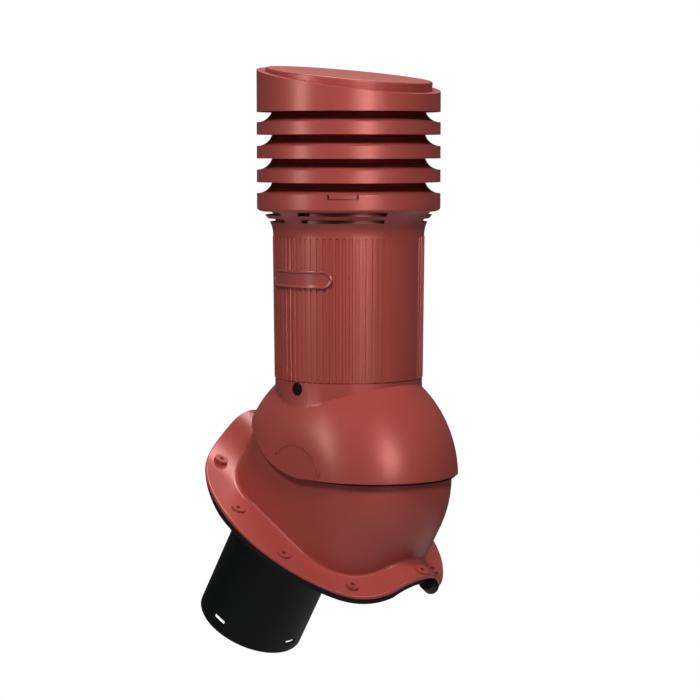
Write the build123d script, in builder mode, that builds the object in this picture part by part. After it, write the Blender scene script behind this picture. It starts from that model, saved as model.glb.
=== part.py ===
import os
from math import asin, cos, radians, sin, sqrt, tan

from build123d import *

# Roof vent with a ball base. The flange lies on a wavy tile and the head stands upright.
# Origin: centre of the spigot's open lower end. Z up, X down the roof, Y across it.

# Duct spigot
spigot_r = 55.0
spigot_wall = 2.5
spigot_offset = 35.0
spigot_drop = 212.7
spigot_neck_r = 53.8
socket_long = 143.7
spigot_slot_turn = 4.0
spigot_slot_arc = 16.0
spigot_slot_high = 2.6
spigot_slot_up = 12.7

# Roof pitch the hood stands at, and the limits of the tilt
roof_pitch = 30.6
pitch_low = 5.0
pitch_high = 40.0

# Ball base
ball_core = 35.0
ball_r = 74.5
ball_wall = 2.5
ball_gap = 3.8
mouth_lean = 20.0
mouth_long = 116.0
mouth_wide = 84.0
floor_top = 58.0
floor_thick = 3.0

# Wavy flange
flange_half_t = 138.6
flange_half_y = 116.0
flange_shift = -4.2
crest_drop = 24.6
crest_r = 41.0
crest_half = 29.0
pan_r = 68.0
plate = 3.0
lip_depth = 4.0
lip_wall = 3.0
foot_round = 4.0
rim_round = 1.5

# Roof screw places in the flange
screw_boss_r = 6.7
screw_hole_r = 2.2
front_boss = 2.0
rear_boss = 4.0
front_screw_t = 100.0
front_screw_y = 57.0
side_screw_t = 39.0
side_screw_y = 95.0
back_screw_t = -34.0
rear_screw_t = -104.0
rear_screw_y = 62.0
crest_screw_t = 126.0

# Seals under the flange
gasket_thick = 8.0
gasket_wide = 12.0
gasket_break = 44.0
cord_r = 7.7
cord_bore = 1.6
cord_long = 22.0
cord_drop = 43.5
cord_y = 20.0
cord_t = 124.0
cord_fall = 34.0

# Tilting hood
hood_wall = 2.5
front_edge = 3.5
rear_start = 12.0
rear_slope = 27.55
edge_round = 24.0
collar_r = 71.7
collar_top = 95.0
neck_r = 69.9
neck_bore = 67.4
neck_top = 125.0

# Tilt lock
lock_height = 87.7
lock_boss_r = 9.0
lock_screw_r = 2.0
lock_slot_half = 2.6
lock_head_r = 3.8
lock_head_high = 2.6
lock_shoe_r = 6.5
plug_r = 6.5
plug_deep = 3.6

# Outer sleeve
sleeve_top_r = 73.8
sleeve_foot_r = 72.4
sleeve_top = 231.8
sleeve_wall = 2.2
flute_step = 5.0
flute_first = 20.0
flute_count = 29
flute_half = 1.15
flute_deep = 0.8
flute_top = 230.0
flute_foot = 98.4

# Badge pad
badge_long = 77.5
badge_high = 16.4
badge_rim = 1.9
badge_proud = 1.3
badge_face = 0.6
badge_height = 193.0
badge_seat = 0.05

# Head collar and louvres
head_r = 89.0
band_wall = 2.5
band_high = 12.0
louvre_pitch = 22.8
collar_edge = 273.4
cove_r = 15.5
neck_arc = 29.0
neck_foot = 233.0
neck_foot_r = 73.4
band_foot = 256.5
band_foot_r = 85.4
web_low = 256.8
web_thick = 2.5
skirt_r = 71.2
skirt_wall = 2.0
skirt_low = 214.0
vent_arc = 61.4
vent_high = 3.4
vent_low_edge = 246.0
vent_high_edge = 252.8
vent_front = 51.4
vent_rear = 129.0
latch_turn = 50.0
latch_arc = 18.0
latch_slit = 1.5
latch_deep = 4.7
latch_sill = 0.8

# Inner duct, foam and louvre cage
duct_wall = 2.2
duct_low = 112.0
duct_top = 263.0
duct_rim_r = 60.0
duct_rim = 2.0
seal_high = 3.0
cage_r = head_r - cove_r - band_wall
cage_in = 62.0
cage_post_in = 66.0
cage_ring = 3.0
cage_posts = 6
post_half = 5.0

# Cap
cap_low = 351.7
cap_axis = 382.3
cap_slope = 9.3
cap_top_wall = 3.0
disc_r = 81.0
disc_high = 7.0
disc_round = 1.5
disc_wall = 2.5
disc_groove = 0.7
disc_groove_deep = 1.4

down = cos(radians(roof_pitch))
lean = sin(radians(roof_pitch))
hinge_x = spigot_offset * down + spigot_drop * lean
hinge_z = spigot_drop * down - spigot_offset * lean
hinge = Vector(hinge_x, 0, hinge_z)
tile_x = Vector(down, 0, -lean)
tile_z = Vector(lean, 0, down)

# Planes through the hinge: along the roof, across the roof, level, and upright
roof = Plane(origin=hinge, x_dir=tile_x, z_dir=tile_z)
roof_across = Plane(origin=hinge, x_dir=(0, 1, 0), z_dir=tile_x)
level = Plane(origin=hinge, x_dir=(1, 0, 0), z_dir=(0, 0, 1))
upright = Plane(origin=hinge, x_dir=(1, 0, 0), z_dir=(0, -1, 0))
hinge_line = Axis(hinge, (0, 1, 0))
pole = Axis(hinge, (0, 0, 1))
spigot_axis_at = roof.from_local_coords(Vector(-spigot_offset, 0, 0))
spigot_pole = Axis(spigot_axis_at, tile_z)


def upright_at(turn):
    """Plane through the upright axis, its X pointing out at this angle from +X."""
    a = radians(turn)
    return Plane(origin=hinge, x_dir=(cos(a), sin(a), 0), z_dir=(sin(a), -cos(a), 0))


def spigot_at(turn):
    """Plane through the spigot axis, its X pointing out at this angle from down-roof."""
    a = radians(turn)
    out = tile_x * cos(a) + Vector(0, sin(a), 0)
    side = tile_x * sin(a) - Vector(0, cos(a), 0)
    return Plane(origin=spigot_axis_at, x_dir=out, z_dir=side)


def wave(y):
    """Height of the flange's top surface at this distance from the centre line."""
    pan_y = crest_half * (crest_r + pan_r) / crest_r
    pan_z = crest_r + crest_drop - sqrt(crest_r**2 - crest_half**2) * (crest_r + pan_r) / crest_r
    if abs(y) <= crest_half:
        return sqrt(crest_r**2 - y**2) - crest_r - crest_drop
    if abs(y) <= pan_y:
        return -pan_z - sqrt(pan_r**2 - (pan_y - abs(y)) ** 2)
    return -pan_z - pan_r


def cord_end():
    """Plane of the cord's cut end under the crest, facing down the side of the wave."""
    fall = radians(cord_fall)
    run = tile_x * -0.2 + Vector(0, cos(fall), 0) - tile_z * sin(fall)
    start = roof.from_local_coords(Vector(cord_t, cord_y, -cord_drop))
    return Plane(origin=start, x_dir=tile_x.cross(run), z_dir=run)


def on_foot(edge):
    """True for an edge where the base's wall meets the flange's top surface."""
    for share in (0.1, 0.5):
        spot = roof.to_local_coords(edge @ share)
        out = sqrt(max(abs(spot.X) - ball_core, 0) ** 2 + spot.Y**2)
        if abs(out - ball_r) > 0.05 or abs(spot.Z - wave(spot.Y)) > 0.05:
            return False
    return True


def on_rim(edge):
    """True for an edge on the flange's outer rim at its top surface."""
    for share in (0.1, 0.5, 0.9):
        spot = roof.to_local_coords(edge @ share)
        out = ((spot.X - flange_shift) / flange_half_t) ** 2 + (spot.Y / flange_half_y) ** 2
        if abs(out - 1) > 0.002 or abs(spot.Z - wave(spot.Y)) > 0.05:
            return False
    return True


def round_body(radius):
    """Half outline of the ball: a core rectangle with a half circle beyond it."""
    with BuildSketch() as outline:
        with BuildLine():
            left = Line((-radius, 0), (-radius, ball_core))
            over = ThreePointArc(left @ 1, (0, ball_core + radius), (radius, ball_core))
            right = Line(over @ 1, (radius, 0))
            Line(right @ 1, (-radius, 0))
        make_face()
    return outline.sketch_local


def wave_band(upper, lower):
    """Strip of the flange's wave between two depths below its top surface."""
    share = crest_half / crest_r
    crest_z = -crest_drop - crest_r
    pan_y = (crest_r + pan_r) * share
    pan_z = crest_z + (crest_r + pan_r) * sqrt(1 - share**2)
    reach = flange_half_y + 10
    edges = []
    for depth in (upper, lower):
        r1 = crest_r - depth
        r2 = pan_r + depth
        turn = asin(share)
        joint = (r1 * share, crest_z + r1 * cos(turn))
        foot = (pan_y, pan_z - r2)
        half = (pan_y - r2 * sin(turn / 2), pan_z - r2 * cos(turn / 2))
        edges.append((joint, half, foot, (0, crest_z + r1)))
    with BuildSketch() as outline:
        with BuildLine():
            for joint, half, foot, crest in edges:
                ThreePointArc((-joint[0], joint[1]), crest, joint)
                ThreePointArc(joint, half, foot)
                ThreePointArc((-joint[0], joint[1]), (-half[0], half[1]), (-foot[0], foot[1]))
                Line(foot, (reach, foot[1]))
                Line((-foot[0], foot[1]), (-reach, foot[1]))
            for side in (-1, 1):
                Line((side * reach, edges[0][2][1]), (side * reach, edges[1][2][1]))
        make_face()
    return outline.sketch_local


def sleeve_r(z):
    """Outer radius of the tapered sleeve at this height above the hinge."""
    share = (z - collar_top) / (sleeve_top - collar_top)
    return sleeve_foot_r + share * (sleeve_top_r - sleeve_foot_r)


# Flange plate and its turned-down lip
with BuildPart() as flange_plate:
    with BuildSketch(roof_across):
        add(wave_band(0, plate))
    extrude(amount=flange_half_t + 20, both=True)
    with BuildSketch(roof.offset(-120)):
        with Locations((flange_shift, 0)):
            Ellipse(flange_half_t, flange_half_y)
    extrude(amount=120, mode=Mode.INTERSECT)

with BuildPart() as flange_lip:
    with BuildSketch(roof_across):
        add(wave_band(plate, plate + lip_depth))
    extrude(amount=flange_half_t + 20, both=True)
    with BuildSketch(roof.offset(-120)):
        with Locations((flange_shift, 0)):
            Ellipse(flange_half_t, flange_half_y)
            Ellipse(flange_half_t - lip_wall, flange_half_y - lip_wall, mode=Mode.SUBTRACT)
    extrude(amount=120, mode=Mode.INTERSECT)

screw_spots = [(crest_screw_t, 0, front_boss)]
for side in (-1, 1):
    screw_spots.append((front_screw_t, side * front_screw_y, front_boss))
    screw_spots.append((side_screw_t, side * side_screw_y, front_boss))
    screw_spots.append((back_screw_t, side * side_screw_y, front_boss))
    screw_spots.append((rear_screw_t, side * rear_screw_y, rear_boss))

# Free end of the hollow round seal under the crest
with BuildPart() as seal_cord:
    with BuildSketch(cord_end()):
        Circle(cord_r)
        Circle(cord_bore, mode=Mode.SUBTRACT)
    extrude(amount=cord_long)
seal_cord.part.label = "seal_cord"

# Base: ball, wall, floor and flange in one moulding
with BuildPart() as base_shell:
    with BuildSketch(Plane(origin=hinge, x_dir=(0, -1, 0), z_dir=tile_z)):
        add(round_body(ball_r))
    revolve(axis=Axis(hinge, (0, -1, 0)), revolution_arc=180)
    with BuildSketch(roof):
        SlotCenterToCenter(2 * ball_core, 2 * ball_r)
    extrude(amount=-(floor_top + floor_thick))
    add(flange_plate.part)
    add(flange_lip.part)
    with BuildSketch(cord_end()):
        Circle(cord_r + 0.3)
    extrude(amount=cord_long, mode=Mode.SUBTRACT)
    for t, y, rise in screw_spots:
        with BuildSketch(roof.offset(wave(y) - 1)):
            with Locations((t, y)):
                Circle(screw_boss_r)
        extrude(amount=rise + 1)
    with BuildSketch(Plane(origin=hinge, x_dir=(0, -1, 0), z_dir=tile_z)):
        add(round_body(ball_r - ball_wall))
    revolve(axis=Axis(hinge, (0, -1, 0)), revolution_arc=180, mode=Mode.SUBTRACT)
    with BuildSketch(roof):
        SlotCenterToCenter(2 * ball_core, 2 * (ball_r - ball_wall))
    extrude(amount=-floor_top, mode=Mode.SUBTRACT)
    with BuildSketch(roof.offset(-floor_top)):
        with Locations((-spigot_offset, 0)):
            Circle(spigot_neck_r)
    extrude(amount=-2 * floor_thick, mode=Mode.SUBTRACT)
    mouth_turn = radians(mouth_lean)
    mouth_z = tile_z * cos(mouth_turn) - tile_x * sin(mouth_turn)
    mouth_x = tile_x * cos(mouth_turn) + tile_z * sin(mouth_turn)
    with BuildSketch(Plane(origin=hinge, x_dir=mouth_x, z_dir=mouth_z).offset(60)):
        SlotOverall(mouth_long, mouth_wide)
    extrude(amount=60, mode=Mode.SUBTRACT)
    for side in (-1, 1):
        low = radians(pitch_low - 2)
        slot_x = tile_z * cos(low) - tile_x * sin(low)
        with BuildSketch(Plane(origin=hinge, x_dir=slot_x, z_dir=slot_x.cross(Vector(0, 1, 0)))):
            with Locations((lock_height, side * (ball_r - 22))):
                Rectangle(2 * lock_slot_half, 24)
        revolve(axis=-hinge_line, revolution_arc=pitch_high - pitch_low + 4, mode=Mode.SUBTRACT)
    for t, y, rise in screw_spots:
        with BuildSketch(roof.offset(wave(y) + 10)):
            with Locations((t, y)):
                Circle(screw_hole_r)
        extrude(amount=-24, mode=Mode.SUBTRACT)
    fillet(base_shell.edges().filter_by(on_foot), foot_round)
    fillet(base_shell.edges().filter_by(on_rim), rim_round)
base_shell.part.label = "base_shell"

# Soft strip under the flange, open at the crest where the cord ends
with BuildPart() as flange_gasket:
    with BuildSketch(roof_across):
        add(wave_band(plate, plate + gasket_thick))
    extrude(amount=flange_half_t + 20, both=True)
    with BuildSketch(roof.offset(-120)):
        with Locations((flange_shift, 0)):
            Ellipse(flange_half_t - lip_wall, flange_half_y - lip_wall)
            inner = lip_wall + gasket_wide
            Ellipse(flange_half_t - inner, flange_half_y - inner, mode=Mode.SUBTRACT)
    extrude(amount=120, mode=Mode.INTERSECT)
    with BuildSketch(roof.offset(-120)):
        with Locations((flange_half_t, gasket_break / 2)):
            Rectangle(flange_half_t, gasket_break)
    extrude(amount=120, mode=Mode.SUBTRACT)
    for t, y, rise in screw_spots:
        with BuildSketch(roof.offset(wave(y) + 10)):
            with Locations((t, y)):
                Circle(screw_hole_r + 0.8)
        extrude(amount=-34, mode=Mode.SUBTRACT)
flange_gasket.part.label = "flange_gasket"

# Spigot with a shoulder that rests on the base's floor
seal_thick = 2.5
shoulder_r = 63.0
shoulder = 4.0
with BuildPart() as spigot_pipe:
    with BuildSketch(Plane(origin=spigot_axis_at, x_dir=tile_x, z_dir=tile_z).offset(-spigot_drop)):
        Circle(spigot_r)
    extrude(amount=socket_long)
    with BuildSketch(Plane(origin=spigot_axis_at, x_dir=tile_x, z_dir=tile_z).offset(-spigot_drop)):
        Circle(spigot_neck_r)
    extrude(amount=spigot_drop - floor_top + seal_thick + shoulder + 4)
    with BuildSketch(roof.offset(seal_thick - floor_top)):
        with Locations((-spigot_offset, 0)):
            Circle(shoulder_r)
    extrude(amount=shoulder)
    with BuildSketch(roof.offset(-spigot_drop)):
        with Locations((-spigot_offset, 0)):
            Circle(spigot_r - spigot_wall)
    extrude(amount=spigot_drop, mode=Mode.SUBTRACT)
    for quarter in range(4):
        turn = spigot_slot_turn + 90 * quarter - spigot_slot_arc / 2
        with BuildSketch(spigot_at(turn)):
            with Locations((spigot_r, spigot_slot_up - spigot_drop)):
                Rectangle(12, spigot_slot_high)
        revolve(axis=spigot_pole, revolution_arc=spigot_slot_arc, mode=Mode.SUBTRACT)
spigot_pipe.part.label = "spigot_pipe"

with BuildPart() as spigot_seal:
    with BuildSketch(roof.offset(-floor_top)):
        with Locations((-spigot_offset, 0)):
            Circle(shoulder_r)
            Circle(spigot_neck_r, mode=Mode.SUBTRACT)
    extrude(amount=seal_thick)
spigot_seal.part.label = "spigot_seal"

ring_high = 6.0
with BuildPart() as spigot_ring:
    with BuildSketch(roof.offset(-floor_top - floor_thick)):
        with Locations((-spigot_offset, 0)):
            Circle(shoulder_r)
            Circle(spigot_neck_r, mode=Mode.SUBTRACT)
    extrude(amount=-ring_high)
spigot_ring.part.label = "spigot_ring"

# Hood: a dome that slides over the ball, with the neck the sleeve sits on
hood_in = ball_r + ball_gap
hood_r = hood_in + hood_wall
far = ball_core + hood_r + 20
rear_top = front_edge + (far + rear_start) * tan(radians(rear_slope))
with BuildPart() as tilt_hood:
    with BuildSketch(Plane(origin=hinge, x_dir=(0, 1, 0), z_dir=(1, 0, 0))):
        add(round_body(hood_r))
    revolve(axis=hinge_line)
    with BuildSketch(upright):
        with BuildLine():
            FilletPolyline(
                (far, front_edge),
                (rear_start, front_edge),
                (-far, rear_top),
                radius=edge_round,
            )
            Line((far, front_edge), (far, -far))
            Line((far, -far), (-far, -far))
            Line((-far, -far), (-far, rear_top))
        make_face()
    extrude(amount=far, both=True, mode=Mode.SUBTRACT)
    with BuildSketch(level.offset(40)):
        Circle(collar_r)
    extrude(amount=collar_top - 40)
    with BuildSketch(level.offset(40)):
        Circle(neck_r)
    extrude(amount=neck_top - 40)
    with BuildSketch(Plane(origin=hinge, x_dir=(0, 1, 0), z_dir=(1, 0, 0))):
        add(round_body(hood_in))
    revolve(axis=hinge_line, mode=Mode.SUBTRACT)
    with BuildSketch(level):
        Circle(neck_bore)
    extrude(amount=neck_top, mode=Mode.SUBTRACT)
    with BuildSketch(upright.offset(-neck_bore - 1)):
        with Locations((0, lock_height)):
            Circle(lock_boss_r)
    extrude(amount=22)
    with BuildSketch(upright.offset(neck_bore + 1)):
        with Locations((0, lock_height)):
            Circle(lock_boss_r)
    extrude(amount=-22)
    with BuildSketch(Plane(origin=hinge, x_dir=(0, 1, 0), z_dir=(1, 0, 0))):
        add(round_body(ball_r + 0.8))
    revolve(axis=hinge_line, mode=Mode.SUBTRACT)
    with BuildSketch(upright):
        with Locations((0, lock_height)):
            Circle(lock_screw_r + 0.2)
    extrude(amount=collar_r + 5, both=True, mode=Mode.SUBTRACT)
    for side in (-1, 1):
        with BuildSketch(upright.offset(side * (collar_r - plug_deep - lock_head_high))):
            with Locations((0, lock_height)):
                Circle(lock_head_r + 0.3)
        extrude(amount=side * 20, mode=Mode.SUBTRACT)
        with BuildSketch(upright.offset(side * (collar_r - plug_deep))):
            with Locations((0, lock_height)):
                Circle(plug_r)
        extrude(amount=side * 20, mode=Mode.SUBTRACT)
tilt_hood.part.label = "tilt_hood"

# Tilt lock on both sides: cover plug, screw, and the shoe that grips inside the ball
with BuildPart() as lock_plugs:
    for side in (-1, 1):
        with BuildSketch(upright.offset(side * (collar_r - plug_deep))):
            with Locations((0, lock_height)):
                Circle(plug_r)
        extrude(amount=side * (plug_deep - 0.1))
lock_plugs.part.label = "lock_plugs"

with BuildPart() as lock_screws:
    for side in (-1, 1):
        with BuildSketch(upright.offset(side * (collar_r - plug_deep - lock_head_high))):
            with Locations((0, lock_height)):
                Circle(lock_head_r)
        extrude(amount=side * lock_head_high)
        with BuildSketch(upright.offset(side * 40)):
            with Locations((0, lock_height)):
                Circle(lock_screw_r)
        extrude(amount=side * (collar_r - plug_deep - lock_head_high - 40))
lock_screws.part.label = "lock_screws"

with BuildPart() as shoe_room:
    with BuildSketch(Plane(origin=hinge, x_dir=(0, 1, 0), z_dir=(1, 0, 0))):
        add(round_body(ball_r - ball_wall))
    revolve(axis=hinge_line)

with BuildPart() as lock_shoes:
    for side in (-1, 1):
        with BuildSketch(upright.offset(side * 38)):
            with Locations((0, lock_height)):
                Circle(lock_shoe_r)
                Circle(lock_screw_r, mode=Mode.SUBTRACT)
        extrude(amount=side * 24)
    add(shoe_room.part, mode=Mode.INTERSECT)
lock_shoes.part.label = "lock_shoes"

# Fluted outer sleeve
with BuildPart() as flutes:
    tilt = (sleeve_top_r - sleeve_foot_r) / (sleeve_top - collar_top)
    for side in (-1, 1):
        for k in range(flute_count):
            a = radians(side * (flute_first + k * flute_step))
            out = Vector(cos(a), sin(a), 0)
            start = hinge + out * sleeve_r(flute_top) + Vector(0, 0, flute_top)
            run = out * -tilt + Vector(0, 0, -1)
            with BuildSketch(Plane(origin=start, x_dir=out, z_dir=run)):
                with BuildLine():
                    Polyline((0.6, -2 * flute_half), (-flute_deep, 0), (0.6, 2 * flute_half), close=True)
                make_face()
            extrude(amount=flute_top - flute_foot)

with BuildPart() as outer_sleeve:
    with BuildSketch(upright):
        with BuildLine():
            Polyline(
                (sleeve_foot_r - sleeve_wall, collar_top),
                (sleeve_foot_r, collar_top),
                (sleeve_top_r, sleeve_top),
                (sleeve_top_r - sleeve_wall, sleeve_top),
                close=True,
            )
        make_face()
    revolve(axis=pole)
    add(flutes.part, mode=Mode.SUBTRACT)
outer_sleeve.part.label = "outer_sleeve"

# Bare badge pad with a raised rim
with BuildPart() as badge_recess:
    with BuildSketch(upright):
        with Locations((0, badge_height)):
            SlotOverall(badge_long - 2 * badge_rim, badge_high - 2 * badge_rim)
    extrude(amount=sleeve_top_r + 10)
    with BuildSketch(upright):
        with BuildLine():
            low = badge_height - badge_high
            high = badge_height + badge_high
            Polyline(
                (sleeve_r(low) + badge_face, low),
                (sleeve_r(low) + 6, low),
                (sleeve_r(high) + 6, high),
                (sleeve_r(high) + badge_face, high),
                close=True,
            )
        make_face()
    revolve(axis=pole, mode=Mode.INTERSECT)

with BuildPart() as badge_pad:
    with BuildSketch(upright):
        with Locations((0, badge_height)):
            SlotOverall(badge_long, badge_high)
    extrude(amount=sleeve_top_r + 10)
    with BuildSketch(upright):
        with BuildLine():
            Polyline(
                (sleeve_r(low) + badge_seat, low),
                (sleeve_r(low) + badge_proud, low),
                (sleeve_r(high) + badge_proud, high),
                (sleeve_r(high) + badge_seat, high),
                close=True,
            )
        make_face()
    revolve(axis=pole, mode=Mode.INTERSECT)
    add(badge_recess.part, mode=Mode.SUBTRACT)
badge_pad.part.label = "badge_pad"

# Inner duct hung from the head collar, foam round it, and a ring seal below
web_top = web_low + web_thick
with BuildPart() as inner_duct:
    with BuildSketch(level.offset(duct_low)):
        Circle(spigot_r)
    extrude(amount=duct_top - duct_low)
    with BuildSketch(level.offset(web_top)):
        Circle(duct_rim_r)
    extrude(amount=duct_rim)
    with BuildSketch(level.offset(duct_low)):
        Circle(spigot_r - duct_wall)
    extrude(amount=duct_top, mode=Mode.SUBTRACT)
inner_duct.part.label = "inner_duct"

with BuildPart() as duct_seal:
    with BuildSketch(level.offset(duct_low)):
        Circle(neck_bore)
        Circle(spigot_r, mode=Mode.SUBTRACT)
    extrude(amount=seal_high)
duct_seal.part.label = "duct_seal"

with BuildPart() as foam_sleeve:
    with BuildSketch(level.offset(duct_low + seal_high)):
        Circle(neck_bore)
        Circle(spigot_r, mode=Mode.SUBTRACT)
    extrude(amount=web_low - duct_low - seal_high)
foam_sleeve.part.label = "foam_sleeve"

# Head collar: lowest louvre, slotted neck and the skirt inside the sleeve
lip_top = collar_edge + cove_r
shell_arc = neck_arc + band_wall
arc_x = neck_foot_r + neck_arc
hollow_low = neck_foot + sqrt(shell_arc**2 - (arc_x - skirt_r) ** 2)
hollow_out = arc_x - sqrt(shell_arc**2 - (web_low - neck_foot) ** 2)
band_in = head_r - band_wall
cove_in = cove_r + band_wall
cove_join = sqrt(cove_in**2 - band_wall**2)
with BuildPart() as head_collar:
    with BuildSketch(upright):
        with BuildLine():
            Line((cage_r, lip_top), (head_r - cove_r, lip_top))
            RadiusArc((head_r - cove_r, lip_top), (head_r, collar_edge), -cove_r)
            Line((head_r, collar_edge), (head_r, band_foot + 3))
            RadiusArc((head_r, band_foot + 3), (band_foot_r, band_foot), 4)
            RadiusArc((band_foot_r, band_foot), (neck_foot_r, neck_foot), -neck_arc)
            Polyline(
                (neck_foot_r, neck_foot),
                (neck_foot_r, sleeve_top),
                (skirt_r, sleeve_top),
                (skirt_r, skirt_low),
                (skirt_r - skirt_wall, skirt_low),
                (skirt_r - skirt_wall, web_low),
                (spigot_r, web_low),
                (spigot_r, web_top),
                (band_in, web_top),
                (band_in, lip_top - cove_join),
            )
            RadiusArc((band_in, lip_top - cove_join), (cage_r, lip_top), cove_in)
        make_face()
    revolve(axis=pole)
    with BuildSketch(upright):
        with BuildLine():
            RadiusArc((hollow_out, web_low), (skirt_r, hollow_low), -shell_arc)
            Polyline((skirt_r, hollow_low), (skirt_r, web_low), (hollow_out, web_low))
        make_face()
    revolve(axis=pole, mode=Mode.SUBTRACT)
    for centre in (vent_front, vent_rear, -vent_front, -vent_rear):
        for edge in (vent_low_edge, vent_high_edge):
            with BuildSketch(upright_at(centre - vent_arc / 2)):
                with Locations((head_r - 5, edge + vent_high / 2)):
                    Rectangle(24, vent_high)
            revolve(axis=pole, revolution_arc=vent_arc, mode=Mode.SUBTRACT)
    for centre in (latch_turn, 180 - latch_turn, -latch_turn, latch_turn - 180):
        for side in (-1, 1):
            with BuildSketch(upright_at(centre + side * latch_arc / 2)):
                with Locations((head_r, collar_edge - latch_deep / 2)):
                    Rectangle(8, latch_deep)
            extrude(amount=latch_slit / 2, both=True, mode=Mode.SUBTRACT)
        with BuildSketch(upright_at(centre - latch_arc / 2)):
            with Locations((head_r, collar_edge - latch_deep + latch_sill / 2)):
                Rectangle(2.4, latch_sill)
        revolve(axis=pole, revolution_arc=latch_arc, mode=Mode.SUBTRACT)
head_collar.part.label = "head_collar"


def louvre_ring(count):
    """Outline of one louvre: a straight band with a cove rising to the cage."""
    edge = collar_edge + count * louvre_pitch
    top = edge + cove_r
    with BuildSketch() as outline:
        with BuildLine():
            Line((cage_r, top), (head_r - cove_r, top))
            RadiusArc((head_r - cove_r, top), (head_r, edge), -cove_r)
            Polyline(
                (head_r, edge),
                (head_r, edge - band_high),
                (band_in, edge - band_high),
                (band_in, top - cove_join),
            )
            RadiusArc((band_in, top - cove_join), (cage_r, top), cove_in)
        make_face()
    return outline.sketch_local


with BuildPart() as louvre_low:
    with BuildSketch(upright):
        add(louvre_ring(1))
    revolve(axis=pole)
louvre_low.part.label = "louvre_low"

with BuildPart() as louvre_middle:
    with BuildSketch(upright):
        add(louvre_ring(2))
    revolve(axis=pole)
louvre_middle.part.label = "louvre_middle"

with BuildPart() as louvre_high:
    with BuildSketch(upright):
        add(louvre_ring(3))
    revolve(axis=pole)
louvre_high.part.label = "louvre_high"

# Cage of posts that carries the louvres and the cap
cage_top = collar_edge + 3 * louvre_pitch + cove_r
with BuildPart() as louvre_cage:
    with BuildSketch(level.offset(web_top)):
        Circle(cage_r)
        Circle(cage_in, mode=Mode.SUBTRACT)
    extrude(amount=cage_ring)
    with BuildSketch(level.offset(cage_top - cage_ring)):
        Circle(cage_r)
        Circle(cage_in, mode=Mode.SUBTRACT)
    extrude(amount=cage_ring)
    for k in range(cage_posts):
        middle = (cage_post_in + cage_r) / 2
        with BuildSketch(upright_at(k * 360 / cage_posts - post_half)):
            with Locations((middle, (web_top + cage_top) / 2)):
                Rectangle(cage_r - cage_post_in, cage_top - web_top)
        revolve(axis=pole, revolution_arc=2 * post_half)
louvre_cage.part.label = "louvre_cage"

# Cap with a slanted top, and the disc let into it
slant = Plane(
    origin=hinge + Vector(0, 0, cap_axis),
    x_dir=(cos(radians(cap_slope)), 0, -sin(radians(cap_slope))),
    z_dir=(sin(radians(cap_slope)), 0, cos(radians(cap_slope))),
)
with BuildPart() as top_cap:
    with BuildSketch(level.offset(cap_low)):
        Circle(head_r)
    extrude(amount=60)
    with BuildSketch(level.offset(cap_low)):
        Circle(band_in)
        Circle(cage_r, mode=Mode.SUBTRACT)
    extrude(amount=60, mode=Mode.SUBTRACT)
    with BuildSketch(level.offset(cap_low)):
        Circle(cage_r)
    extrude(amount=cage_top - cap_low, mode=Mode.SUBTRACT)
    with BuildSketch(level.offset(cap_low)):
        Circle(cage_r - 6)
    extrude(amount=60, mode=Mode.SUBTRACT)
    with BuildSketch(slant.offset(-cap_top_wall)):
        Circle(2 * head_r)
    extrude(amount=90, mode=Mode.SUBTRACT)
    with BuildSketch(slant):
        Circle(2 * head_r)
    extrude(amount=-cap_top_wall)
    with BuildSketch(level):
        Circle(head_r)
    extrude(amount=cap_axis + 90, mode=Mode.INTERSECT)
    with BuildSketch(slant):
        Circle(disc_r + disc_groove)
        Circle(disc_r, mode=Mode.SUBTRACT)
    extrude(amount=-disc_groove_deep, mode=Mode.SUBTRACT)
top_cap.part.label = "top_cap"

with BuildPart() as cap_disc:
    with BuildSketch(slant):
        Circle(disc_r)
    extrude(amount=disc_high)
    fillet(cap_disc.edges().group_by(Axis(hinge, slant.z_dir))[-1], disc_round)
    with BuildSketch(slant):
        Circle(disc_r - disc_wall)
    extrude(amount=disc_high - disc_wall, mode=Mode.SUBTRACT)
cap_disc.part.label = "cap_disc"

os.makedirs("parts", exist_ok=True)
export_step(base_shell.part, "parts/base_shell.step")
export_step(flange_gasket.part, "parts/flange_gasket.step")
export_step(seal_cord.part, "parts/seal_cord.step")
export_step(spigot_pipe.part, "parts/spigot_pipe.step")
export_step(spigot_seal.part, "parts/spigot_seal.step")
export_step(spigot_ring.part, "parts/spigot_ring.step")
export_step(tilt_hood.part, "parts/tilt_hood.step")
export_step(lock_plugs.part, "parts/lock_plugs.step")
export_step(lock_screws.part, "parts/lock_screws.step")
export_step(lock_shoes.part, "parts/lock_shoes.step")
export_step(outer_sleeve.part, "parts/outer_sleeve.step")
export_step(badge_pad.part, "parts/badge_pad.step")
export_step(inner_duct.part, "parts/inner_duct.step")
export_step(duct_seal.part, "parts/duct_seal.step")
export_step(foam_sleeve.part, "parts/foam_sleeve.step")
export_step(head_collar.part, "parts/head_collar.step")
export_step(louvre_low.part, "parts/louvre_low.step")
export_step(louvre_middle.part, "parts/louvre_middle.step")
export_step(louvre_high.part, "parts/louvre_high.step")
export_step(louvre_cage.part, "parts/louvre_cage.step")
export_step(top_cap.part, "parts/top_cap.step")
export_step(cap_disc.part, "parts/cap_disc.step")
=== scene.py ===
import math

import bmesh
import bpy
from mathutils import Matrix, Vector


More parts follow.
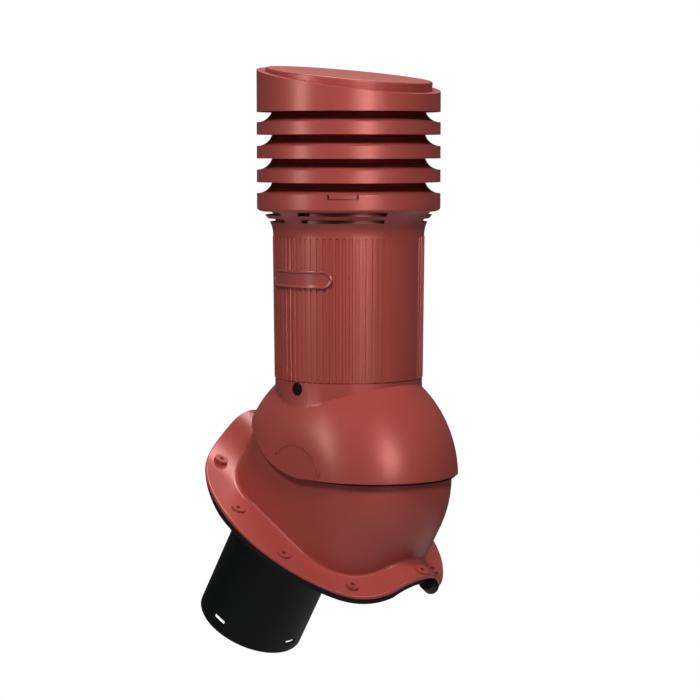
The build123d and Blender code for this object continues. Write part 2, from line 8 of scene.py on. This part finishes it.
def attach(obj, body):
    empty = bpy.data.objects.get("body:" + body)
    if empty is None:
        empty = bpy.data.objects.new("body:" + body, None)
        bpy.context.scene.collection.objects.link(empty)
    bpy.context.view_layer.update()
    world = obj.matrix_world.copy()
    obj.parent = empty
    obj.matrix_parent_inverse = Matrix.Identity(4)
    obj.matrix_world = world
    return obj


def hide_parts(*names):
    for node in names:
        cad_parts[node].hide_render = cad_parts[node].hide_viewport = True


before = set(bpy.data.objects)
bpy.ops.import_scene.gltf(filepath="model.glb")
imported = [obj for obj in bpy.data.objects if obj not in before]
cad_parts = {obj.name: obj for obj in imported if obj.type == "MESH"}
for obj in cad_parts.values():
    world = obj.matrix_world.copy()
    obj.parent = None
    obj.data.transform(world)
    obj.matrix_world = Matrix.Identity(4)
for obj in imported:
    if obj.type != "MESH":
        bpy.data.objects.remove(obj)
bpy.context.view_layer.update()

# Ball base with its wavy flange: one injection-moulded shell in red-brown plastic. It is
# screwed to the roof tile through raised screw places, and the hood turns on its ball.
ROOF_FALL = math.radians(30.6)
HINGE = Vector((0.1383991, 0, 0.1652634))
DOWN_ROOF = Vector((math.cos(ROOF_FALL), 0, -math.sin(ROOF_FALL)))
OFF_ROOF = Vector((math.sin(ROOF_FALL), 0, math.cos(ROOF_FALL)))

CREASE = math.radians(32)
red_shell = bpy.data.materials.new("red moulded plastic")
red_shell.use_nodes = True
nodes = red_shell.node_tree.nodes
links = red_shell.node_tree.links
red_bsdf = nodes["Principled BSDF"]
red_bsdf.inputs["Base Color"].default_value = (0.36, 0.062, 0.050, 1)
red_bsdf.inputs["Roughness"].default_value = 0.36
red_bsdf.inputs["Specular IOR Level"].default_value = 0.7
red_bsdf.inputs["Specular Tint"].default_value = (1, 0.50, 0.45, 1)
red_place = nodes.new("ShaderNodeTexCoord")
red_grain = nodes.new("ShaderNodeTexNoise")
red_grain.inputs["Scale"].default_value = 1400
red_grain.inputs["Detail"].default_value = 2
red_bump = nodes.new("ShaderNodeBump")
red_bump.inputs["Strength"].default_value = 0.05
red_bump.inputs["Distance"].default_value = 0.0003
links.new(red_place.outputs["Object"], red_grain.inputs["Vector"])
links.new(red_grain.outputs["Fac"], red_bump.inputs["Height"])
links.new(red_bump.outputs["Normal"], red_bsdf.inputs["Normal"])


def moulded_copy(node, name, material, body):
    """A welded copy of a solid with its round faces shaded smooth."""
    made = bmesh.new()
    made.from_mesh(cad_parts[node].data)
    bmesh.ops.remove_doubles(made, verts=made.verts[:], dist=1e-6)
    mesh = bpy.data.meshes.new(name)
    made.to_mesh(mesh)
    made.free()
    if "custom_normal" in mesh.attributes:
        mesh.attributes.remove(mesh.attributes["custom_normal"])
    mesh.materials.clear()
    mesh.materials.append(material)
    mesh.shade_smooth()
    mesh.set_sharp_from_angle(angle=CREASE)
    piece = bpy.data.objects.new(name, mesh)
    evened = piece.modifiers.new("even shading", "WEIGHTED_NORMAL")
    evened.keep_sharp = True
    bpy.context.scene.collection.objects.link(piece)
    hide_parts(node)
    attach(piece, body)
    return piece


def on_roof(point):
    """Distances from the hinge down the roof, across it and off it."""
    out = point - HINGE
    return out.dot(DOWN_ROOF), out.y, out.dot(OFF_ROOF)


CREST_DROP = 0.0246
CREST_R = 0.0410
CREST_HALF = 0.0290
PAN_R = 0.0680


def wave_rise(y):
    """Height of the flange's top over the hinge's roof plane, this far from the centre."""
    crest_rise = math.sqrt(CREST_R**2 - CREST_HALF**2)
    pan_y = CREST_HALF * (CREST_R + PAN_R) / CREST_R
    pan_rise = crest_rise * (CREST_R + PAN_R) / CREST_R - CREST_DROP - CREST_R
    y = abs(y)
    if y <= CREST_HALF:
        return math.sqrt(CREST_R**2 - y**2) - CREST_DROP - CREST_R
    if y <= pan_y:
        return pan_rise - math.sqrt(PAN_R**2 - (pan_y - y) ** 2)
    return pan_rise - PAN_R


def wave_stretch(y):
    """How much longer a depth measured off the roof is than one square to the wave."""
    step = 1e-4
    slope = (wave_rise(y + step) - wave_rise(y - step)) / (2 * step)
    return math.sqrt(1 + slope**2)


RIM_SHIFT = -0.0042
RIM_T = 0.1386
RIM_Y = 0.1160
RIM_THICK = 0.0030
LIP_FROM = 0.94
HAIR = 0.00005
SLACK = 0.0002
base = moulded_copy("base_shell", "ball_base", red_shell, "base")
# The lip's lower edge goes up to the plate. "out" is 1 on the rim's oval.
for corner in base.data.vertices:
    t, y, n = on_roof(corner.co)
    out = ((t - RIM_SHIFT) / RIM_T) ** 2 + (y / RIM_Y) ** 2
    rim_low = wave_rise(y) - (RIM_THICK + HAIR) * wave_stretch(y)
    if out > LIP_FROM and n < rim_low - SLACK:
        corner.co += OFF_ROOF * (rim_low - n)

# Seal strip and cord under the flange: soft black rubber, stuck under the rim and seen as a
# dark line below its edge. The strip reaches the rim and thins out at the up-roof end.
STRIP_INSET = 0.0004
STRIP_THICK = 0.0058
STRIP_THIN_T = -0.098
STRIP_TAPER = 0.060
STRIP_LEAST = 0.02
SOLID_T = RIM_T - 0.003
SOLID_Y = RIM_Y - 0.003
OUTER_WALL = 0.985


def plain_finish(name, colour, roughness, shine=0.5, metal=0):
    """A finish of one colour, with no grain."""
    finish = bpy.data.materials.new(name)
    finish.use_nodes = True
    bsdf = finish.node_tree.nodes["Principled BSDF"]
    bsdf.inputs["Base Color"].default_value = (*colour, 1)
    bsdf.inputs["Roughness"].default_value = roughness
    bsdf.inputs["Specular IOR Level"].default_value = shine
    bsdf.inputs["Metallic"].default_value = metal
    return finish


# This black is also used for the painted shadow under the hood's front edge.
rubber_and_shadow_black = plain_finish("black rubber and painted shadow", (0.006, 0.006, 0.007), 0.7, shine=0.15)
gasket = moulded_copy("flange_gasket", "rim_strip", rubber_and_shadow_black, "base")
for corner in gasket.data.vertices:
    t, y, n = on_roof(corner.co)
    out = ((t - RIM_SHIFT) / SOLID_T) ** 2 + (y / SOLID_Y) ** 2
    share = min(max((t - STRIP_THIN_T) / STRIP_TAPER, STRIP_LEAST), 1)
    strip_low = wave_rise(y) - (RIM_THICK + STRIP_THICK * share) * wave_stretch(y)
    if n < strip_low - SLACK:
        corner.co += OFF_ROOF * (strip_low - n)
    if out > OUTER_WALL:
        moved_t = RIM_SHIFT + (t - RIM_SHIFT) * (RIM_T - STRIP_INSET) / SOLID_T
        moved_y = y * (RIM_Y - STRIP_INSET) / SOLID_Y
        corner.co += DOWN_ROOF * (moved_t - t) + Vector((0, moved_y - y, 0))
        corner.co += OFF_ROOF * (wave_rise(moved_y) - wave_rise(y))
cord = moulded_copy("seal_cord", "crest_cord", rubber_and_shadow_black, "base")
pipe_ring_seal = moulded_copy("spigot_seal", "pipe_seal", rubber_and_shadow_black, "base")

# Duct pipe: black plastic pipe with a square-cut end and four slots near it, held in the
# base's floor by its shoulder and a ring below.
black_pipe = plain_finish("black pipe plastic", (0.0022, 0.0028, 0.0027), 0.5, shine=0.15)
pipe = moulded_copy("spigot_pipe", "duct_pipe", black_pipe, "base")
SLOT_MIDDLE = -0.2000
SLOT_HIGH = 0.0046
SOLID_SLOT_HIGH = 0.0026
SLOT_SLACK = 0.0005
for corner in pipe.data.vertices:
    off_middle = on_roof(corner.co)[2] - SLOT_MIDDLE
    if abs(abs(off_middle) - SOLID_SLOT_HIGH / 2) < SLOT_SLACK:
        corner.co += OFF_ROOF * (math.copysign(SLOT_HIGH / 2, off_middle) - off_middle)
pipe_ring = moulded_copy("spigot_ring", "pipe_ring", black_pipe, "base")

# Tilting hood: a dome that slides over the ball, moulded with the collar that carries the
# sleeve. The collar's rim is chamfered, and the dome's lower edge rises in one long round
# towards the rear.
hood = moulded_copy("tilt_hood", "hood_dome", red_shell, "hood")
hood_made = bmesh.new()
hood_made.from_mesh(hood.data)
COLLAR_TOP = 0.0950
COLLAR_R = 0.0717
COLLAR_CHAMFER = 0.0009
COLLAR_SLACK = 2e-5
collar_edge = []
for edge in hood_made.edges:
    ends = [v.co - HINGE for v in edge.verts]
    at_top = [e for e in ends if abs(e.z - COLLAR_TOP) < COLLAR_SLACK]
    at_rim = [e for e in at_top if abs(math.hypot(e.x, e.y) - COLLAR_R) < COLLAR_SLACK]
    if len(at_rim) == 2:
        collar_edge.append(edge)
bmesh.ops.bevel(hood_made, geom=collar_edge, offset=COLLAR_CHAMFER, segments=1, affect="EDGES")
CHEEK_CORE = 0.0350
EDGE_LEVEL = 0.0035
CUT_EDGE = (0.012, math.radians(27.55), 0.024)
ROUND_EDGE = (-0.016, math.radians(42), 0.080)
EDGE_REAR = -0.080
EDGE_SIDE = 0.040
EDGE_SLACK = 6e-5
EDGE_STEPS = 7


def edge_rise(forward, start, slope, round_r):
    """Height of the hood's lower edge over the hinge: level in front, rising to the rear."""
    lead = round_r * math.tan(slope / 2)
    if forward < start - lead * math.cos(slope):
        return EDGE_LEVEL + (start - forward) * math.tan(slope)
    if forward < start + lead:
        return EDGE_LEVEL + round_r - math.sqrt(round_r**2 - (start + lead - forward) ** 2)
    return EDGE_LEVEL


def on_cut(out):
    """Whether a corner lies on the solid's straight lower edge, this far from the hinge."""
    return abs(out.z - edge_rise(out.x, *CUT_EDGE)) <= EDGE_SLACK


edge_runs = []
for edge in hood_made.edges:
    ends = [v.co - HINGE for v in edge.verts]
    at_side = max(abs(e.y) for e in ends) > EDGE_SIDE
    if on_cut(ends[0]) and on_cut(ends[1]) and at_side and min(e.x for e in ends) > EDGE_REAR:
        edge_runs.append(edge)
bmesh.ops.subdivide_edges(hood_made, edges=edge_runs, cuts=EDGE_STEPS)
for corner in hood_made.verts:
    out = corner.co - HINGE
    lower = edge_rise(out.x, *ROUND_EDGE)
    if on_cut(out) and abs(out.y) >= EDGE_SIDE and out.x > EDGE_REAR and lower < out.z:
        reach = max(math.hypot(out.x, out.z) - CHEEK_CORE, 0)
        shell_r = math.hypot(reach, out.y)
        reach = max(math.hypot(out.x, lower) - CHEEK_CORE, 0)
        corner.co.y = math.copysign(math.sqrt(shell_r**2 - reach**2), out.y)
        corner.co.z = HINGE.z + lower
bmesh.ops.triangulate(hood_made, faces=[f for f in hood_made.faces if len(f.verts) > 3])
hood_made.to_mesh(hood.data)
hood_made.free()
hood.data.set_sharp_from_angle(angle=CREASE)

# Painted shadow under the hood: a black strip in the gap between hood and ball stands in for
# the shade under the hood's front edge. It shows as a dark line there and thins out towards
# both cheeks.
SHADOW_STRIP_IN_R = 0.0750
SHADOW_STRIP_OUT_R = 0.0782
SHADOW_STRIP_HIGH = 0.0055
SHADOW_STRIP_SHOWS = 0.0024
SHADOW_STRIP_END = 0.020
CHEEK_STEPS = 9
ROUND_STEPS = 60
shadow_strip_path = []
for k in range(CHEEK_STEPS):
    shadow_strip_path.append((SHADOW_STRIP_END + (CHEEK_CORE - SHADOW_STRIP_END) * k / CHEEK_STEPS, -90))
for k in range(ROUND_STEPS + 1):
    shadow_strip_path.append((CHEEK_CORE, 180 * k / ROUND_STEPS - 90))
for k in range(CHEEK_STEPS):
    shadow_strip_path.append((CHEEK_CORE - (CHEEK_CORE - SHADOW_STRIP_END) * (k + 1) / CHEEK_STEPS, 90))
shadow_strip_made = bmesh.new()
shadow_strip_rows = []
for k, (along, turn) in enumerate(shadow_strip_path):
    shows = SHADOW_STRIP_SHOWS * math.sin(math.pi * (k + 1) / (len(shadow_strip_path) + 1)) ** 0.5
    row = []
    for radius, rise in (
        (SHADOW_STRIP_IN_R, SHADOW_STRIP_HIGH),
        (SHADOW_STRIP_OUT_R, SHADOW_STRIP_HIGH),
        (SHADOW_STRIP_OUT_R, EDGE_LEVEL - shows),
        (SHADOW_STRIP_IN_R, EDGE_LEVEL - shows),
    ):
        reach = along + radius * math.cos(math.radians(turn))
        forward = math.sqrt(reach**2 - rise**2)
        side = radius * math.sin(math.radians(turn))
        row.append(shadow_strip_made.verts.new(HINGE + Vector((forward, side, rise))))
    shadow_strip_rows.append(row)
for near, far in zip(shadow_strip_rows, shadow_strip_rows[1:]):
    for j in range(4):
        nxt = (j + 1) % 4
        shadow_strip_made.faces.new((near[j], near[nxt], far[nxt], far[j]))
shadow_strip_made.faces.new(shadow_strip_rows[0])
shadow_strip_made.faces.new(shadow_strip_rows[-1])


def made_piece(name, made, material):
    """A piece of its own from a mesh that was made here, with its faces turned outwards."""
    bmesh.ops.recalc_face_normals(made, faces=made.faces[:])
    mesh = bpy.data.meshes.new(name)
    made.to_mesh(mesh)
    made.free()
    mesh.materials.append(material)
    piece = bpy.data.objects.new(name, mesh)
    bpy.context.scene.collection.objects.link(piece)
    return piece


# The strip is painted shade: a dark piece placed where the hood's edge shades the ball.
painted_hood_shadow = made_piece("painted_hood_shadow", shadow_strip_made, rubber_and_shadow_black)
painted_hood_shadow.data.shade_smooth()
painted_hood_shadow.data.set_sharp_from_angle(angle=CREASE)
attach(painted_hood_shadow, "hood")

# Tilt mark: a thin raised arc with an arrowhead at each end, moulded on the hood's flat
# near cheek. It shows which way the hood turns.
MARK_R = 0.033
MARK_CENTRE = HINGE + Vector((0.005, -0.0807, 0.0025))
MARK_FROM = 10
MARK_TO = 138
MARK_STEPS = 46
MARK_SEED = 0.0001
LINE_WIDE = 0.0009
LINE_HIGH = 0.0010
BARB_WIDE = 0.0008
BARB_LONG = 0.0058
BARB_LEAN = 32


def turned(degrees):
    """A turn about the hinge's way, from the front upwards."""
    return Matrix.Rotation(math.radians(-degrees), 3, "Y")


mark_made = bmesh.new()
bmesh.ops.create_cube(mark_made, size=1)
line = mark_made.verts[:]
bmesh.ops.scale(mark_made, verts=line, vec=(LINE_WIDE, LINE_HIGH, MARK_SEED))
bmesh.ops.translate(mark_made, verts=line, vec=MARK_CENTRE + Vector((MARK_R, 0, 0)))
bmesh.ops.rotate(mark_made, verts=line, cent=MARK_CENTRE, matrix=turned(MARK_FROM))
ahead = turned(MARK_FROM) @ Vector((0, 0, 1))
leading = [f for f in mark_made.faces if f.normal.dot(ahead) > 0.9]
bmesh.ops.spin(
    mark_made,
    geom=leading,
    cent=MARK_CENTRE,
    axis=(0, 1, 0),
    angle=math.radians(MARK_FROM - MARK_TO),
    steps=MARK_STEPS,
    use_duplicate=False,
)
bmesh.ops.delete(mark_made, geom=leading, context="FACES_ONLY")
for end, way in ((MARK_FROM, 1), (MARK_TO, -1)):
    for lean in (BARB_LEAN, -BARB_LEAN):
        barb = bmesh.ops.create_cube(mark_made, size=1)["verts"]
        bmesh.ops.scale(mark_made, verts=barb, vec=(BARB_WIDE, LINE_HIGH, BARB_LONG))
        bmesh.ops.translate(mark_made, verts=barb, vec=(0, 0, way * BARB_LONG / 2))
        bmesh.ops.rotate(mark_made, verts=barb, cent=(0, 0, 0), matrix=turned(lean))
        bmesh.ops.translate(mark_made, verts=barb, vec=(MARK_R, 0, 0))
        bmesh.ops.rotate(mark_made, verts=barb, cent=(0, 0, 0), matrix=turned(end))
        bmesh.ops.translate(mark_made, verts=barb, vec=MARK_CENTRE)
mark = made_piece("tilt_mark", mark_made, red_shell)
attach(mark, "hood")

# Tilt lock: a black cover plug on each side, over a steel screw. The screw holds a shoe
# against the inside of the ball, so the hood keeps its tilt.
plugs = moulded_copy("lock_plugs", "cover_plugs", black_pipe, "hood")
steel = plain_finish("screw steel", (0.55, 0.55, 0.56), 0.35, metal=1)
screws = moulded_copy("lock_screws", "tilt_screws", steel, "hood")
shoes = moulded_copy("lock_shoes", "grip_shoes", black_pipe, "hood")

# Outer sleeve: a tapered tube with fine flutes on both sides and plain strips at the front
# and back, slipped over the hood's neck. It has a small chamfer at its lower edge. Turns are
# in degrees from the front.
SLEEVE_LOW = 0.0950
SLEEVE_TOP = 0.2318
SLEEVE_FOOT_R = 0.0724
SLEEVE_TOP_R = 0.0738
SLEEVE_WALL = 0.0022
SLEEVE_CHAMFER = 0.0005
FLUTE_DEEP = 0.0012
FLUTES = 29
FLUTE_STEP = 5
FLUTE_MOUTH = 1.45
FLUTE_FLOOR = 1.0
PLAIN_STEPS = 12
PLAIN_STEP = 1.4
around = []
for side in (-90, 90):
    for k in range(FLUTES):
        middle = side + (k - (FLUTES - 1) / 2) * FLUTE_STEP
        around += [(middle - FLUTE_MOUTH, 0), (middle + FLUTE_MOUTH, 0)]
        around += [(middle - FLUTE_FLOOR, 1), (middle, 1), (middle + FLUTE_FLOOR, 1)]
for k in range(-PLAIN_STEPS, PLAIN_STEPS + 1):
    around += [(k * PLAIN_STEP, 0), (180 + k * PLAIN_STEP, 0)]
around = sorted(((turn + 360) % 360, deep) for turn, deep in around)
sleeve_made = bmesh.new()
rows = []
for rise, radius, fluted in (
    (SLEEVE_LOW, SLEEVE_FOOT_R - SLEEVE_CHAMFER, 0),
    (SLEEVE_LOW + SLEEVE_CHAMFER, SLEEVE_FOOT_R, 1),
    (SLEEVE_TOP, SLEEVE_TOP_R, 1),
    (SLEEVE_TOP, SLEEVE_TOP_R - SLEEVE_WALL, 0),
    (SLEEVE_LOW, SLEEVE_FOOT_R - SLEEVE_WALL, 0),
):
    row = []
    for turn, deep in around:
        out = radius - FLUTE_DEEP * deep * fluted
        way = Vector((math.cos(math.radians(turn)), math.sin(math.radians(turn)), 0))
        row.append(sleeve_made.verts.new(HINGE + way * out + Vector((0, 0, rise))))
    rows.append(row)
for k, row in enumerate(rows):
    above = rows[(k + 1) % len(rows)]
    for j in range(len(row)):
        nxt = (j + 1) % len(row)
        sleeve_made.faces.new((row[j], row[nxt], above[nxt], above[j]))
sleeve = made_piece("fluted_sleeve", sleeve_made, red_shell)
sleeve.data.shade_smooth()
sleeve.data.set_sharp_from_angle(angle=math.radians(16))
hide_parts("outer_sleeve")
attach(sleeve, "hood")

# Badge pad: a glossy rounded pad with a raised rim, seated on the sleeve's flutes. Its face
# is bare.
red_gloss = plain_finish("glossy red plastic", (0.36, 0.062, 0.050), 0.16, shine=1)
RIM_FROM = 0.0010
RIM_LIFT = 0.0006
RIM_ROUND = 0.0008
badge = moulded_copy("badge_pad", "bare_badge", red_gloss, "hood")
for corner in badge.data.vertices:
    out = Vector((corner.co.x - HINGE.x, corner.co.y, 0))
    share = (corner.co.z - HINGE.z - SLEEVE_LOW) / (SLEEVE_TOP - SLEEVE_LOW)
    proud = out.length - SLEEVE_FOOT_R - share * (SLEEVE_TOP_R - SLEEVE_FOOT_R)
    if proud > RIM_FROM:
        corner.co += out.normalized() * RIM_LIFT
badge_edge = badge.modifiers.new("rounded rim", "BEVEL")
badge_edge.width = RIM_ROUND
badge_edge.segments = 4
badge_edge.limit_method = "ANGLE"
badge_edge.angle_limit = math.radians(40)

# Inner duct, its seal and the foam round it: a grey plastic pipe with a rubber ring at its
# foot, in a foam tube that keeps it warm. All three are hidden inside the sleeve.
grey_duct = plain_finish("grey duct plastic", (0.10, 0.10, 0.105), 0.5)
duct = moulded_copy("inner_duct", "inner_pipe", grey_duct, "hood")
duct_ring = moulded_copy("duct_seal", "neck_seal", rubber_and_shadow_black, "hood")
pale_foam = plain_finish("pale foam", (0.62, 0.60, 0.55), 0.9)
foam = moulded_copy("foam_sleeve", "foam_tube", pale_foam, "hood")

# Head collar: the slotted neck with the lowest louvre, moulded in one and pushed into the
# sleeve.
collar = moulded_copy("head_collar", "slotted_neck", red_shell, "hood")

# Louvres: three like rings, each a straight band with a cove behind it. A black cage of posts
# inside carries them and the cap.
for level in ("low", "middle", "high"):
    ring = moulded_copy("louvre_" + level, "ring_" + level, red_shell, "hood")
cage = moulded_copy("louvre_cage", "ring_cage", black_pipe, "hood")

# Cap: a deep lid with a slanted top, which keeps rain out of the louvres. The disc on it is a
# wedge, thin at the high side.
cap = moulded_copy("top_cap", "slanted_cap", red_shell, "hood")
disc = moulded_copy("cap_disc", "top_disc", red_shell, "hood")
CAP_SLOPE = math.radians(9.3)
CAP_MIDDLE = HINGE + Vector((0, 0, 0.3823))
CAP_FALL = Vector((math.cos(CAP_SLOPE), 0, -math.sin(CAP_SLOPE)))
CAP_OUT = Vector((math.sin(CAP_SLOPE), 0, math.cos(CAP_SLOPE)))
SOLID_DISC_HIGH = 0.0070
DISC_HIGH = 0.0057
DISC_WEDGE = 0.0402
for corner in disc.data.vertices:
    down_cap = (corner.co - CAP_MIDDLE).dot(CAP_FALL)
    high = (corner.co - CAP_MIDDLE).dot(CAP_OUT)
    wedge_high = DISC_HIGH + DISC_WEDGE * down_cap
    corner.co += CAP_OUT * high * (wedge_high / SOLID_DISC_HIGH - 1)

# Studio: a pale floor well below the hanging part and a white world for the camera. Two tall
# boxes give the long highlights, two high ones the light on the walls, and one at the rear
# gives both.
FLOOR_HALF = 1.5
FLOOR_LOW = -0.6
floor_paint = plain_finish("floor paint", (0.8, 0.8, 0.8), 0.9)
floor_nodes = floor_paint.node_tree.nodes
floor_white = floor_nodes.new("ShaderNodeEmission")
floor_mix = floor_nodes.new("ShaderNodeMixShader")
floor_ray = floor_nodes.new("ShaderNodeLightPath")
floor_links = floor_paint.node_tree.links
floor_links.new(floor_ray.outputs["Is Camera Ray"], floor_mix.inputs[0])
floor_links.new(floor_nodes["Principled BSDF"].outputs[0], floor_mix.inputs[1])
floor_links.new(floor_white.outputs[0], floor_mix.inputs[2])
floor_links.new(floor_mix.outputs[0], floor_nodes["Material Output"].inputs[0])
floor_made = bmesh.new()
bmesh.ops.create_grid(floor_made, x_segments=1, y_segments=1, size=FLOOR_HALF)
bmesh.ops.translate(floor_made, verts=floor_made.verts[:], vec=(0, 0, FLOOR_LOW))
floor = made_piece("studio floor", floor_made, floor_paint)

world = bpy.data.worlds.new("studio")
bpy.context.scene.world = world
world.use_nodes = True
world_nodes = world.node_tree.nodes
world_links = world.node_tree.links
soft = world_nodes["Background"]
soft.inputs["Color"].default_value = (0.75, 0.78, 0.82, 1)
soft.inputs["Strength"].default_value = 0.10
white = world_nodes.new("ShaderNodeBackground")
white.inputs["Color"].default_value = (1, 1, 1, 1)
ray = world_nodes.new("ShaderNodeLightPath")
pick = world_nodes.new("ShaderNodeMixShader")
world_links.new(ray.outputs["Is Camera Ray"], pick.inputs[0])
world_links.new(soft.outputs[0], pick.inputs[1])
world_links.new(white.outputs[0], pick.inputs[2])
world_links.new(pick.outputs[0], world_nodes["World Output"].inputs[0])

CAMERA_BEARING = -46.6
PART_MIDDLE = 0.14


def soft_lamp(name, turn, distance, height, size, watts, aim, spread, gives):
    """A soft box that faces the part, turned so many degrees from the camera's bearing."""
    bearing = math.radians(CAMERA_BEARING + turn)
    across = Vector((math.cos(bearing), math.sin(bearing), 0)) * distance
    spot = Vector((PART_MIDDLE, 0, height)) + across
    lamp = bpy.data.lights.new(name, "AREA")
    lamp.shape = "RECTANGLE"
    lamp.size, lamp.size_y = size
    lamp.energy = watts
    lamp.spread = math.radians(spread)
    held = bpy.data.objects.new(name, lamp)
    held.location = spot
    towards = Vector((PART_MIDDLE, 0, aim)) - spot
    held.rotation_euler = towards.to_track_quat("-Z", "Y").to_euler()
    held.visible_diffuse = "body" in gives
    held.visible_glossy = "shine" in gives
    bpy.context.scene.collection.objects.link(held)


soft_lamp("left box", -60, 1.6, 1.08, (0.24, 1.4), 3.3, 0.95, 72, "shine")
soft_lamp("right box", 22, 1.7, 1.12, (0.30, 1.4), 6.1, 0.95, 72, "shine")
soft_lamp("high left box", -30, 1.5, 1.88, (0.5, 0.5), 25, 0.28, 180, "body")
soft_lamp("high right box", 24, 1.5, 1.88, (0.5, 0.5), 25, 0.28, 180, "body")
soft_lamp("rear box", 180, 0.7, 1.80, (0.6, 0.6), 17, 0.28, 180, "body and shine")

# Camera at the photograph's place: long lens, looking slightly down.
camera_data = bpy.data.cameras.new("camera")
camera_data.sensor_width = 36
camera_data.lens = 115.714
camera_data.clip_end = 30
camera = bpy.data.objects.new("camera", camera_data)
camera.location = HINGE + Vector((1.5046, -1.5892, 0.3170))
camera.rotation_euler = (math.radians(84.87), 0, math.radians(43.4))
bpy.context.scene.collection.objects.link(camera)
bpy.context.scene.camera = camera
bpy.context.scene.view_settings.view_transform = "Standard"
